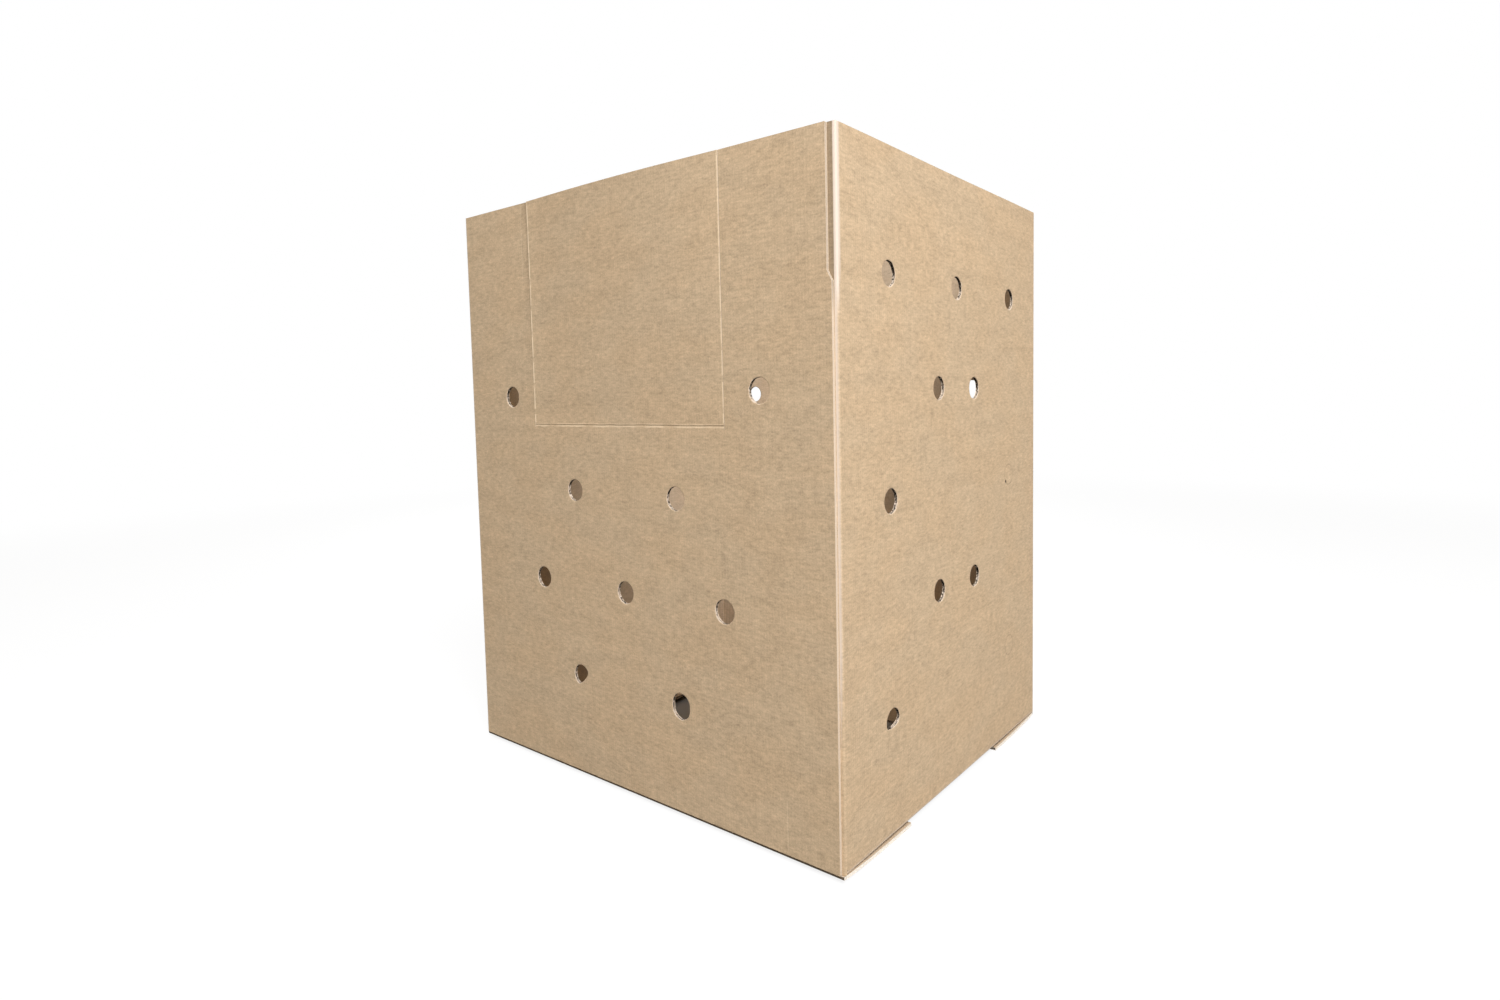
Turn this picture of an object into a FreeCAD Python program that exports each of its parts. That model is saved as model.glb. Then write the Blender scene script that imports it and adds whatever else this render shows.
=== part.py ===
"""Pallet box: one die-cut corrugated blank folded into an open-topped box.

Millimetres, +Z up.  X runs along the long walls, Y along the short ones.  The origin is the
middle of the base, on the surface that the box stands on.  The front wall faces -Y.
"""
import FreeCAD, Part
import math
import os
import Sketcher

# name, value, meaning
SIZES = [
    ("box_length", 1200, "outer length of the long walls, along X"),
    ("box_width", 1000, "outer length of the short walls, along Y"),
    ("overall_height", 1440, "floor to the top edge"),
    ("board", 7, "thickness of the corrugated board"),
    ("fold_inner", 1, "inner radius of a folded edge"),
    ("layer_gap", 0.5, "air between two folded layers"),
    ("joint_gap", 0.5, "front wall's end to the start of the corner fold"),
    ("tab_width", 50, "glued tab behind the front wall, from the side wall's face"),
    ("notch_depth", 10.5, "how far the front wall's end is cut back at the top"),
    ("notch_height", 267, "top edge to the notch's corner"),
    ("notch_slant", 20, "rise of the slanted cut at the notch's foot"),
    ("flap_length", 270, "bottom flap, wall's face to free edge"),
    ("flap_land", 40, "end strip of an outer flap that lies flat on the floor"),
    ("flap_slope", 4.5, "slope of an outer flap where it leaves its fold, in degrees"),
    ("flap_end_gap", 1, "outer flap's end to the side wall's face"),
    ("inner_flap_gap", 3, "inner flap's end to the wall beside it"),
    ("gate_width", 642, "drop-down gate's opening"),
    ("gate_drop", 557, "top edge to the gate's score"),
    ("kerf", 0.8, "cut around the gate"),
    ("vent_diameter", 53, "air vent"),
    ("vent_low", 262, "height of the lowest row of vents"),
    ("vent_pitch", 231, "height from one row of vents to the next"),
    ("front_pair", 172, "offset of the paired vents in the long walls"),
    ("front_outer", 309, "offset of the outer vents in the three-vent row"),
    ("gate_vent", 94, "gate's cut to the middle of the vent beside it"),
    ("side_pair", 94, "offset of the paired vents in the short walls"),
    ("side_outer", 312, "offset of the outer vents in the short walls"),
    ("side_shift", 6, "short walls' vents off centre, away from the joint"),
    ("vent_stretch", 7, "length added to the vent that tore longer"),
    ("front_tear_start", 13, "angles between which the front's torn vent is open, in degrees"),
    ("front_tear_end", 250, "its other end"),
    ("side_tear_start", -5, "angles between which the side's torn vent is open, in degrees"),
    ("side_tear_end", 200, "its other end"),
    ("knife_line", 0.8, "width of the cut round a disc left in place"),
    ("knife_depth", 2, "depth of that cut"),
]

SHEET = "Sizes"
HALF_LENGTH = "(Sizes.box_length / 2)"
HALF_WIDTH = "(Sizes.box_width / 2)"
TOP = "Sizes.overall_height"
FOLD_RADIUS = "(Sizes.fold_inner + Sizes.board)"
# An outer flap runs flat for flap_land and rises along an arc to the round of its fold.
FLAP_RUN = "(Sizes.flap_length - Sizes.board / 2 - Sizes.flap_land)"
FLAP_MID_RADIUS = f"({FLAP_RUN} / sin(Sizes.flap_slope * 1 deg))"
FLAP_AXIS_Y = f"(Sizes.board / 2 - {HALF_WIDTH})"
FLAP_AXIS_Z = f"(Sizes.board / 2 + {FLAP_RUN} * tan(Sizes.flap_slope * 0.5 deg))"
# The walls and the inner flaps start one gap above that round.
WALL_FOOT = f"({FLAP_AXIS_Z} + Sizes.board / 2 + Sizes.layer_gap)"
JOINT_X = f"({HALF_LENGTH} - {FOLD_RADIUS} - Sizes.joint_gap)"
GATE_SILL = f"({TOP} - Sizes.gate_drop)"
VENT_RADIUS = "(Sizes.vent_diameter / 2)"
OVERRUN = "(Sizes.board * 2)"


def vent_row(index):
    """Height of a row of vents, counted up from the lowest."""
    return f"(Sizes.vent_low + Sizes.vent_pitch * {index})"


def make_sheet(doc):
    sheet = doc.addObject("Spreadsheet::Sheet", SHEET)
    for row, (name, value, meaning) in enumerate(SIZES, start=1):
        sheet.set(f"A{row}", name)
        sheet.set(f"B{row}", str(value))
        sheet.set(f"C{row}", meaning)
        sheet.setAlias(f"B{row}", name)
    doc.recompute()
    return sheet


def value_of(doc, expression):
    """Number that an expression gives with the sheet's present values."""
    result = doc.getObject(SHEET).evalExpression(expression)
    return float(getattr(result, "Value", result))


class Outline:
    """A sketch whose points are all bound to the sheet."""

    def __init__(self, body, name, plane, offset=None):
        self.doc = body.Document
        self.sketch = body.newObject("Sketcher::SketchObject", name)
        origin = [item for item in body.Origin.OriginFeatures if item.Role == plane]
        self.sketch.AttachmentSupport = [(origin[0], "")]
        self.sketch.MapMode = "FlatFace"
        if offset:
            self.sketch.setExpression("AttachmentOffset.Base.z", offset)

    def number(self, expression):
        return value_of(self.doc, expression)

    def point(self, place):
        return FreeCAD.Vector(self.number(place[0]), self.number(place[1]), 0)

    def bind(self, kind, item, corner, expression):
        """Tie one coordinate of a point to an expression; 0 puts the point on the axis."""
        if expression == "0":
            axis = -2 if kind == "DistanceX" else -1
            self.sketch.addConstraint(
                Sketcher.Constraint("PointOnObject", item, corner, axis))
            return
        number = self.number(expression)
        index = self.sketch.addConstraint(
            Sketcher.Constraint(kind, -1, 1, item, corner, number))
        self.sketch.setExpression(f"Constraints[{index}]", expression)

    def circle(self, centre, radius):
        shape = Part.Circle(self.point(centre), FreeCAD.Vector(0, 0, 1), self.number(radius))
        item = self.sketch.addGeometry(shape)
        index = self.sketch.addConstraint(
            Sketcher.Constraint("Radius", item, self.number(radius)))
        self.sketch.setExpression(f"Constraints[{index}]", radius)
        self.bind("DistanceX", item, 3, centre[0])
        self.bind("DistanceY", item, 3, centre[1])

    def closed(self, steps):
        """Closed outline.  A step is a place, and for an arc also its centre and its turn.

        An arc runs from its own place to the next one.  The place that ends it is bound in
        one coordinate only ("x" or "y" in the step), because the arc settles the other.
        """
        items = []
        for step, following in zip(steps, steps[1:] + steps[:1]):
            start, end = self.point(step["at"]), self.point(following["at"])
            if "centre" in step:
                items.append(self.add_arc(start, end, step))
            else:
                items.append((self.sketch.addGeometry(Part.LineSegment(start, end)), 1, 2))
        for here, following in zip(items, items[1:] + items[:1]):
            self.sketch.addConstraint(Sketcher.Constraint(
                "Coincident", here[0], here[2], following[0], following[1]))
        for step, (item, first, _) in zip(steps, items):
            kept = step.get("bound", "xy")
            if "x" in kept:
                self.bind("DistanceX", item, first, step["at"][0])
            if "y" in kept:
                self.bind("DistanceY", item, first, step["at"][1])
            if "centre" in step:
                self.bind("DistanceX", item, 3, step["centre"][0])
                self.bind("DistanceY", item, 3, step["centre"][1])

    def add_arc(self, start, end, step):
        """Arc geometry, with the numbers of its first and last points."""
        centre = self.point(step["centre"])
        leftward = step["turn"] == "left"
        spokes = [start - centre, end - centre] if leftward else [end - centre, start - centre]
        angles = [math.atan2(spoke.y, spoke.x) for spoke in spokes]
        circle = Part.Circle(centre, FreeCAD.Vector(0, 0, 1), spokes[0].Length)
        item = self.sketch.addGeometry(Part.ArcOfCircle(circle, *angles))
        return (item, 1, 2) if leftward else (item, 2, 1)


def corner(x, y, bound="xy"):
    return {"at": (x, y), "bound": bound}


def bend(x, y, centre, turn="left", bound="xy"):
    return {"at": (x, y), "centre": centre, "turn": turn, "bound": bound}


def box_outline(outline, left, right, low, high):
    outline.closed([corner(left, low), corner(right, low), corner(right, high), corner(left, high)])


def pad(body, outline, length, centred=False, backward=False):
    feature = body.newObject("PartDesign::Pad", outline.sketch.Name + "_pad")
    feature.Profile = outline.sketch
    feature.setExpression("Length", length)
    feature.SideType = "Symmetric" if centred else "One side"
    feature.Reversed = backward
    body.Document.recompute()
    return feature


def pocket(body, outline, length, centred=False, forward=False):
    """Cut along the sketch's back, or along its normal if forward, and see that it cut."""
    before = body.Shape.Volume
    feature = body.newObject("PartDesign::Pocket", outline.sketch.Name + "_cut")
    feature.Profile = outline.sketch
    feature.setExpression("Length", length)
    feature.SideType = "Symmetric" if centred else "One side"
    feature.Reversed = forward
    body.Document.recompute()
    if not body.Shape.Volume < before:
        raise RuntimeError(f"{feature.Name} removed nothing")
    return feature


def new_body(doc, name):
    body = doc.addObject("PartDesign::Body", name)
    body.Label = name
    return body


def wall_ring(body):
    """The four walls, with rounded folds and the glued tab in the front right corner."""
    plan = Outline(body, "wall_plan", "XY_Plane", WALL_FOOT)
    centre_x = f"({HALF_LENGTH} - {FOLD_RADIUS})"
    centre_y = f"({HALF_WIDTH} - {FOLD_RADIUS})"
    face_x = f"({HALF_LENGTH} - Sizes.board)"
    face_y = f"({HALF_WIDTH} - Sizes.board)"
    front_left = (f"-{centre_x}", f"-{centre_y}")
    back_left = (f"-{centre_x}", centre_y)
    back_right = (centre_x, centre_y)
    joint = (centre_x, f"(Sizes.board - {centre_y})")
    tab_x = f"({HALF_LENGTH} - Sizes.tab_width)"
    tab_y = f"(Sizes.board - {face_y})"
    plan.closed([
        corner(JOINT_X, f"-{face_y}"),
        corner(JOINT_X, f"-{HALF_WIDTH}"),
        bend(f"-{centre_x}", f"-{HALF_WIDTH}", front_left, "right"),
        corner(f"-{HALF_LENGTH}", f"-{centre_y}", "y"),
        bend(f"-{HALF_LENGTH}", centre_y, back_left, "right"),
        corner(f"-{centre_x}", HALF_WIDTH, "x"),
        bend(centre_x, HALF_WIDTH, back_right, "right"),
        corner(HALF_LENGTH, centre_y, "y"),
        bend(HALF_LENGTH, joint[1], joint, "right"),
        corner(centre_x, f"-{face_y}", "x"),
    ])
    plan.closed([
        corner(tab_x, f"-{face_y}"),
        bend(f"-{centre_x}", f"-{face_y}", front_left, "right"),
        corner(f"-{face_x}", f"-{centre_y}", "y"),
        bend(f"-{face_x}", centre_y, back_left, "right"),
        corner(f"-{centre_x}", face_y, "x"),
        bend(centre_x, face_y, back_right, "right"),
        corner(face_x, centre_y, "y"),
        bend(face_x, joint[1], joint, "right"),
        corner(centre_x, tab_y, "x"),
        corner(tab_x, tab_y),
    ])
    pad(body, plan, f"({TOP} - {WALL_FOOT})")


def inner_flaps(body):
    """The short walls' bottom flaps, folded in first, so they lie over the outer ones."""
    span = f"(({HALF_WIDTH} - Sizes.board - Sizes.inner_flap_gap) * 2)"
    bend_top = f"({WALL_FOOT} + {FOLD_RADIUS})"
    free = f"({HALF_LENGTH} - Sizes.flap_length)"
    face = f"({HALF_LENGTH} - Sizes.board)"
    start = f"({HALF_LENGTH} - {FOLD_RADIUS})"
    clearing = Outline(body, "fold_room", "XZ_Plane")
    for sign in ("-", ""):
        past = f"{sign}({HALF_LENGTH} + {OVERRUN})"
        box_outline(clearing, sign + face, past, WALL_FOOT, bend_top)
    pocket(body, clearing, span, centred=True)
    profile = Outline(body, "inner_flap_profile", "XZ_Plane")
    for sign, turn, back in (("", "left", "right"), ("-", "right", "left")):
        centre = (sign + start, bend_top)
        profile.closed([
            corner(sign + free, WALL_FOOT),
            bend(sign + start, WALL_FOOT, centre, turn),
            corner(sign + HALF_LENGTH, bend_top, "y"),
            bend(sign + face, bend_top, centre, back),
            corner(sign + start, f"({WALL_FOOT} + Sizes.board)", "x"),
            corner(sign + free, f"({WALL_FOOT} + Sizes.board)"),
        ])
    pad(body, profile, span, centred=True)


def gate_opening(body):
    half = "(Sizes.gate_width / 2)"
    opening = Outline(body, "gate_opening", "XZ_Plane")
    box_outline(opening, f"-{half}", half, GATE_SILL, f"({TOP} + {OVERRUN})")
    pocket(body, opening, f"({HALF_WIDTH} + {OVERRUN})", forward=True)


def joint_notch(body):
    """The front wall's end is cut back near the top, which leaves the tab in view."""
    left = f"({JOINT_X} - Sizes.notch_depth)"
    foot = f"({TOP} - Sizes.notch_height)"
    notch = Outline(body, "joint_notch", "XZ_Plane", HALF_WIDTH)
    notch.closed([
        corner(left, foot),
        corner(JOINT_X, f"({foot} - Sizes.notch_slant)"),
        corner(f"({HALF_LENGTH} + {OVERRUN})", f"({foot} - Sizes.notch_slant)"),
        corner(f"({HALF_LENGTH} + {OVERRUN})", f"({TOP} + {OVERRUN})"),
        corner(left, f"({TOP} + {OVERRUN})"),
    ])
    pocket(body, notch, "Sizes.board")


def torn_vent(outline, place, start, end):
    """A vent whose disc stayed in part: the rim from start to end, closed by a straight tear."""
    def rim(angle):
        return (f"({place[0]} + {VENT_RADIUS} * cos({angle} * 1 deg))",
                f"({place[1]} + {VENT_RADIUS} * sin({angle} * 1 deg))")
    slope = math.radians(outline.number(end))
    steep = abs(math.sin(slope)) > abs(math.cos(slope))
    outline.closed([bend(*rim(start), place), corner(*rim(end), "x" if steep else "y")])


def long_vent(outline, place):
    """A vent that tore longer downward."""
    x, z = place
    low = f"({z} - Sizes.vent_stretch)"
    left, right = f"({x} - {VENT_RADIUS})", f"({x} + {VENT_RADIUS})"
    outline.closed([bend(right, z, (x, z)), corner(left, z, "y"),
                    bend(left, low, (x, low)), corner(right, low, "y")])


def round_vents(outline, places):
    for place in places:
        outline.circle(place, VENT_RADIUS)


def long_wall_vents():
    """Places of a long wall's vents, lowest row first."""
    beside_gate = "(Sizes.gate_width / 2 + Sizes.gate_vent)"
    rows = [("-Sizes.front_pair", "Sizes.front_pair"),
            ("-Sizes.front_outer", "0", "Sizes.front_outer"),
            ("-Sizes.front_pair", "Sizes.front_pair"),
            ("-" + beside_gate, beside_gate)]
    return [(x, vent_row(index)) for index, row in enumerate(rows) for x in row]


def short_wall_vents():
    """Places of a short wall's vents, lowest row first; the sketch's X is the part's Y."""
    outer = ("Sizes.side_shift - Sizes.side_outer", "Sizes.side_shift + Sizes.side_outer")
    pair = ("Sizes.side_shift - Sizes.side_pair", "Sizes.side_shift + Sizes.side_pair")
    rows = [outer, pair, outer, pair, (outer[0], "Sizes.side_shift", outer[1])]
    return [(f"({y})", vent_row(index)) for index, row in enumerate(rows) for y in row]


def cut_vents(body):
    """All vents.  The front and right walls have torn ones and two discs left in place."""
    front_places = long_wall_vents()
    front = Outline(body, "front_vents", "XZ_Plane")
    torn_vent(front, front_places[0], "Sizes.front_tear_start", "Sizes.front_tear_end")
    long_vent(front, front_places[1])
    round_vents(front, front_places[2:])
    pocket(body, front, f"({HALF_WIDTH} + {OVERRUN})", forward=True)
    back = Outline(body, "back_vents", "XZ_Plane")
    round_vents(back, front_places)
    pocket(body, back, f"({HALF_WIDTH} + {OVERRUN})")
    side_places = short_wall_vents()
    kept_discs = [side_places[1], side_places[5]]
    open_places = [place for place in side_places[1:] if place not in kept_discs]
    right = Outline(body, "right_vents", "YZ_Plane")
    torn_vent(right, side_places[0], "Sizes.side_tear_start", "Sizes.side_tear_end")
    round_vents(right, open_places)
    pocket(body, right, f"({HALF_LENGTH} + {OVERRUN})", forward=True)
    left = Outline(body, "left_vents", "YZ_Plane")
    round_vents(left, side_places)
    pocket(body, left, f"({HALF_LENGTH} + {OVERRUN})")
    rings = Outline(body, "knife_rings", "YZ_Plane", HALF_LENGTH)
    round_vents(rings, kept_discs)
    for place in kept_discs:
        rings.circle(place, f"({VENT_RADIUS} - Sizes.knife_line)")
    pocket(body, rings, "Sizes.knife_depth")


def make_box_walls(doc):
    body = new_body(doc, "box_walls")
    wall_ring(body)
    inner_flaps(body)
    gate_opening(body)
    joint_notch(body)
    cut_vents(body)


def make_access_gate(doc):
    """The panel between the two cuts, which folds down outside on its score."""
    body = new_body(doc, "access_gate")
    half = "(Sizes.gate_width / 2 - Sizes.kerf)"
    panel = Outline(body, "gate_panel", "XZ_Plane", f"({HALF_WIDTH} - Sizes.board)")
    box_outline(panel, f"-{half}", half, f"({GATE_SILL} + Sizes.kerf)", TOP)
    pad(body, panel, "Sizes.board")


def make_outer_flap(doc, name, turned):
    """A long wall's bottom flap: the round of its fold, an arc down and a flat end strip."""
    body = new_body(doc, name)
    land_y = f"({FLAP_AXIS_Y} + {FLAP_RUN})"
    end_y = f"({land_y} + Sizes.flap_land)"
    low_radius = f"({FLAP_MID_RADIUS} + Sizes.board / 2)"
    high_radius = f"({FLAP_MID_RADIUS} - Sizes.board / 2)"
    arc_centre = (land_y, low_radius)
    low_y = f"({land_y} - {low_radius} * sin(Sizes.flap_slope * 1 deg))"
    low_z = f"({low_radius} * (1 - cos(Sizes.flap_slope * 1 deg)))"
    high_y = f"({land_y} - {high_radius} * sin(Sizes.flap_slope * 1 deg))"
    high_z = f"({low_radius} - {high_radius} * cos(Sizes.flap_slope * 1 deg))"
    profile = Outline(body, name + "_profile", "YZ_Plane")
    profile.closed([
        corner(end_y, "0"),
        bend(land_y, "0", arc_centre, "right"),
        bend(low_y, low_z, (FLAP_AXIS_Y, FLAP_AXIS_Z), "right", "x"),
        bend(high_y, high_z, arc_centre, "left", "y"),
        corner(land_y, "Sizes.board", "x"),
        corner(end_y, "Sizes.board"),
    ])
    pad(body, profile, "(Sizes.box_length - 2 * Sizes.flap_end_gap)", centred=True)
    if turned:
        body.Placement = FreeCAD.Placement(
            FreeCAD.Vector(0, 0, 0), FreeCAD.Rotation(FreeCAD.Vector(0, 0, 1), 180))


def check_document(doc):
    doc.recompute()
    for item in doc.Objects:
        if "Invalid" in item.State or "Error" in item.State:
            raise RuntimeError(f"{item.Name} failed: {item.State}")


def write_parts(doc):
    os.makedirs("parts", exist_ok=True)
    bodies = [item for item in doc.Objects if item.TypeId == "PartDesign::Body"]
    for body in bodies:
        if body.Shape.isNull() or not body.Shape.isValid():
            raise RuntimeError(f"{body.Label} has no valid shape")
    for body in bodies:
        body.Shape.exportStep(f"parts/{body.Label}.step")
        print(body.Label, len(body.Shape.Solids), round(body.Shape.Volume), body.Shape.BoundBox)


def main():
    doc = FreeCAD.newDocument("pallet_box")
    make_sheet(doc)
    make_box_walls(doc)
    make_access_gate(doc)
    make_outer_flap(doc, "front_bottom_flap", turned=False)
    make_outer_flap(doc, "back_bottom_flap", turned=True)
    check_document(doc)
    write_parts(doc)
    print("flap hinge line at y, z:", value_of(doc, FLAP_AXIS_Y), value_of(doc, FLAP_AXIS_Z))
    print("walls start at:", value_of(doc, WALL_FOOT), "gate's score:", value_of(doc, GATE_SILL))


main()
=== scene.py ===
"""Pallet box of double-wall corrugated board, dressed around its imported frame.

Metres, +Z up.  Each piece of board is first drawn flat, as it comes off the die: U across the
flutes, V along them and W through the board, 0 on its outer face and negative inward.  A fold
function then carries every point to its place on the box.
"""
import math
from dataclasses import dataclass

import bmesh
import bpy
from mathutils import Matrix, Vector, noise


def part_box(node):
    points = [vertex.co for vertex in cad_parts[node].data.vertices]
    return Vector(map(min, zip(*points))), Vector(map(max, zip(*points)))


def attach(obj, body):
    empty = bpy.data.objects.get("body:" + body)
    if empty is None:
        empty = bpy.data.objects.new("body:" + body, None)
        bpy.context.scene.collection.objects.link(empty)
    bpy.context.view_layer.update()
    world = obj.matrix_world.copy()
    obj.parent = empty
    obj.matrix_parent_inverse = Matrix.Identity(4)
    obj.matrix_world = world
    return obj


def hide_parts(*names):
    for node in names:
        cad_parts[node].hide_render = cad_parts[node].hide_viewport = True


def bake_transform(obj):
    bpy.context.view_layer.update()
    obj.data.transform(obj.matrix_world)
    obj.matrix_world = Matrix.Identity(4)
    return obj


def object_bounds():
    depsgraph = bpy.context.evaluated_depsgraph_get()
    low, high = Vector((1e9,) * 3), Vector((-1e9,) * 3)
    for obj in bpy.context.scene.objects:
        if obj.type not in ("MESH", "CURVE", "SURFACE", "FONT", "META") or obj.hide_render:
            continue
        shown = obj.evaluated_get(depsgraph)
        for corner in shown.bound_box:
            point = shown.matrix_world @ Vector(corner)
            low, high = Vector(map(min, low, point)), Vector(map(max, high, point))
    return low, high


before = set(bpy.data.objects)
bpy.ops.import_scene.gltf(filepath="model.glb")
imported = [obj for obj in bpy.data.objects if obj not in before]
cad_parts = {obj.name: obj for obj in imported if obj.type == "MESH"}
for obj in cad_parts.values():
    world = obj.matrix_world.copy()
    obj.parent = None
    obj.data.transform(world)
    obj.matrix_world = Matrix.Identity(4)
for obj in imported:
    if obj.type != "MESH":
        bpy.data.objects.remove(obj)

MM = 0.001
CAD_LOW, CAD_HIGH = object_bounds()
WALLS_LOW, WALLS_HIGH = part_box("box_walls")
GATE_LOW, GATE_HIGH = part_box("access_gate")
FLAP_LOW, FLAP_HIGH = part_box("front_bottom_flap")
HALF_X, HALF_Y = WALLS_HIGH.x, WALLS_HIGH.y
TOP, FOOT = WALLS_HIGH.z, WALLS_LOW.z

# The board: liner, fine flutes, middle liner, coarse flutes, liner.
BOARD = GATE_HIGH.y - GATE_LOW.y
LINER = 0.5 * MM
MIDDLE_DEPTH, MIDDLE = 2.9 * MM, 0.4 * MM
FLUTE_PAPER = 0.3 * MM
FINE_DEPTH, FINE_SWING, FINE_PITCH = 1.7 * MM, 1.0 * MM, 6.4 * MM
COARSE_DEPTH, COARSE_SWING, COARSE_PITCH = 4.9 * MM, 1.4 * MM, 7.8 * MM
FLUTES = ((FINE_DEPTH, FINE_SWING, FINE_PITCH), (COARSE_DEPTH, COARSE_SWING, COARSE_PITCH))
FLUTE_REACH = 9 * MM           # how deep the flutes are modelled behind a cut edge
STEPS_PER_FLUTE = 5
CUT_BACK = 0.8 * MM            # middle liner behind the outer ones at a cut edge
EDGE_RECESS = 0.4 * MM         # flank of a flute behind a cut edge along it
BEAD = 3.6 * MM                # strip of liner that a cutting rule crushed
KNIFE_FACE = 0.25              # a face this flat in W was made by a knife, across the board
SMOOTH_ANGLE = math.radians(40)

# Folds, joint and gate.
FOLD_IN = 1 * MM
FOLD_OUT = FOLD_IN + BOARD
FOLD_STEPS = 8
JOINT_GAP = 0.5 * MM
TAB = 42 * MM
NOTCH_IN, NOTCH_DROP, NOTCH_SLANT = 10.5 * MM, 267 * MM, 20 * MM
KERF = 0.8 * MM
GATE_HALF = GATE_HIGH.x + KERF
SILL = GATE_LOW.z - KERF
SCORE = (SILL + GATE_LOW.z) / 2
SCORE_REACH = 6 * MM           # liner that the score shaped, above and below it
SLOT = 3 * MM                  # between a short wall's flap and the corner beside it
SLOT_RISE = 2 * MM             # how far that slot runs up past the fold
INNER_FLAP_HALF = HALF_Y - BOARD - SLOT
FLAP_LENGTH = FLAP_HIGH.y - FLAP_LOW.y
BEND_TOP = FOOT + FOLD_OUT
BEND_RUN = FOLD_OUT * math.pi / 2
INNER_FLAP_END = BEND_TOP - BEND_RUN - (FLAP_LENGTH - FOLD_OUT)

# Outer flaps: a round at the hinge line, an arc down and a flat strip on the floor.
FLAP_SLOPE = math.radians(4.5)
LAND = 40 * MM
HINGE_IN = BOARD / 2
FLAP_RUN = FLAP_LENGTH - HINGE_IN - LAND
FLAP_RADIUS = FLAP_RUN / math.sin(FLAP_SLOPE)
FLAP_ARC = FLAP_RADIUS * FLAP_SLOPE
FLAP_AXIS_Z = HINGE_IN + FLAP_RADIUS * (1 - math.cos(FLAP_SLOPE))
NOSE = HINGE_IN * math.pi      # length of paper round the flap's nose

# How the walls and the gate stand out of flat: the gate leans and bows, the strips beside it
# spring, and all the board has slow waves.
GATE_LEAN, GATE_BOW = 2.4 * MM, 7.4 * MM
LEFT_STRIP, RIGHT_STRIP = -1.4 * MM, 1.5 * MM
RISE_POWER = 1.25              # how late up the wall the swell comes
FRONT_WAVE, WALL_WAVE = 1.0 * MM, 2.5 * MM
WAVES_PER_METRE = (2.2, 1.8)   # along the wall and up it
CALM_FOOT = 200 * MM

# Vents: offset along the wall in millimetres, and row from the lowest.
VENT_R = 26.5 * MM
VENT_POINTS = 90
CRUSH_FROM, CRUSH_FULL = 0.64, 0.90            # how much of a vent's rim the punch crushed, on the side lit from above
RIM = 1.6 * MM                 # ring of liner that the punch bent
RIM_ROOM = 3.2 * MM            # flat ring of liner outside it
AT_RIM = 0.75 * RIM            # how near the edge its wear, painted highlight and painted shade reach
OUTER_SINK, INNER_SINK = 0.7 * MM, 0.5 * MM
RIM_ROUGH = 0.5 * MM
TEAR_LIP, TEAR_RAG = 2 * MM, 1.6 * MM
VENT_LOW, VENT_PITCH = 262 * MM, 231 * MM
LONG_WALL_VENTS = ((-172, 0), (172, 0), (-309, 1), (0, 1), (309, 1), (-172, 2), (172, 2),
                   (-415, 3), (415, 3))
SHORT_WALL_VENTS = ((-306, 0), (318, 0), (-88, 1), (100, 1), (-306, 2), (318, 2), (-88, 3),
                    (100, 3), (-306, 4), (6, 4), (318, 4))
# Where the punch crushed each wall's vents: towards the side lit from above, which is painted
# pale.
CRUSHED_AT = {"front": -145, "right": -40, "back": -90, "left": -90}
ODD_VENTS = {
    ("front", -172, 0): {"tear": (13, 250)},
    ("front", 172, 0): {"stretch": 7 * MM},
    ("right", -306, 0): {"tear": (-20, 216)},
    ("right", 318, 0): {"kept": True},
    ("right", 318, 2): {"kept": True},
}

MESH_STEP = 60 * MM


def clamp(value, low=0, high=1):
    return min(high, max(low, value))


def step_up(value, low, high):
    """0 below low, 1 above high and a smooth step between."""
    share = clamp((value - low) / (high - low))
    return share * share * (3 - 2 * share)


def bump_at(value, centre, width):
    """A smooth rise of 1 at the centre that dies out at the width."""
    distance = abs(value - centre) / width
    return (1 - distance * distance) ** 2 if distance < 1 else 0


def noise_at(x, y=0, z=0):
    return noise.noise(Vector((x, y, z)))


# ---------------------------------------------------------------- folding the flat board

def squared(angle):
    """A creased fold is squarer than a quarter circle: how far it stands out at an angle."""
    return (math.cos(angle) ** 4 + math.sin(angle) ** 4) ** -0.25


@dataclass
class Run:
    """A stretch of the walls' outer face, seen from above: straight, or a quarter turn right."""
    name: str
    start: float
    length: float
    place: Vector
    heading: Vector

    @property
    def outward(self):
        return Vector((-self.heading.y, self.heading.x))

    @property
    def turns(self):
        return self.name.startswith("fold")

    def at(self, u, w):
        """Place in plan of flat coordinates U and W."""
        along = u - self.start
        if not self.turns:
            return self.place + self.heading * along + self.outward * w
        angle = along / FOLD_OUT
        spoke = self.outward * math.cos(angle) + self.heading * math.sin(angle)
        return self.place - self.outward * FOLD_OUT + spoke * (FOLD_OUT + w) * squared(angle)

    def u_of(self, value):
        """Flat U of an X on a long wall, or of a Y on a short one."""
        axis = 0 if abs(self.heading.x) > abs(self.heading.y) else 1
        return self.start + (value - self.place[axis]) * self.heading[axis]


def follow_walls():
    """The runs, clockwise from the joint: front, left, back and right walls, then the tab."""
    long_wall = 2 * (HALF_X - FOLD_OUT)
    short_wall = 2 * (HALF_Y - FOLD_OUT)
    lengths = [("front", long_wall - JOINT_GAP), ("left", short_wall), ("back", long_wall),
               ("right", short_wall - BOARD), ("tab", TAB)]
    place = Vector((HALF_X - FOLD_OUT - JOINT_GAP, -HALF_Y))
    heading = Vector((-1, 0))
    start = 0
    runs = {}
    for name, length in lengths:
        runs[name] = Run(name, start, length, place, heading)
        place = place + heading * length
        start += length
        if name == "tab":
            break
        fold = Run("fold after " + name, start, BEND_RUN, place, heading)
        runs[fold.name] = fold
        place = fold.at(start + BEND_RUN, 0)
        heading = Vector((heading.y, -heading.x))
        start += BEND_RUN
    return runs


RUNS = follow_walls()
U_END = RUNS["tab"].start + TAB


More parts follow.
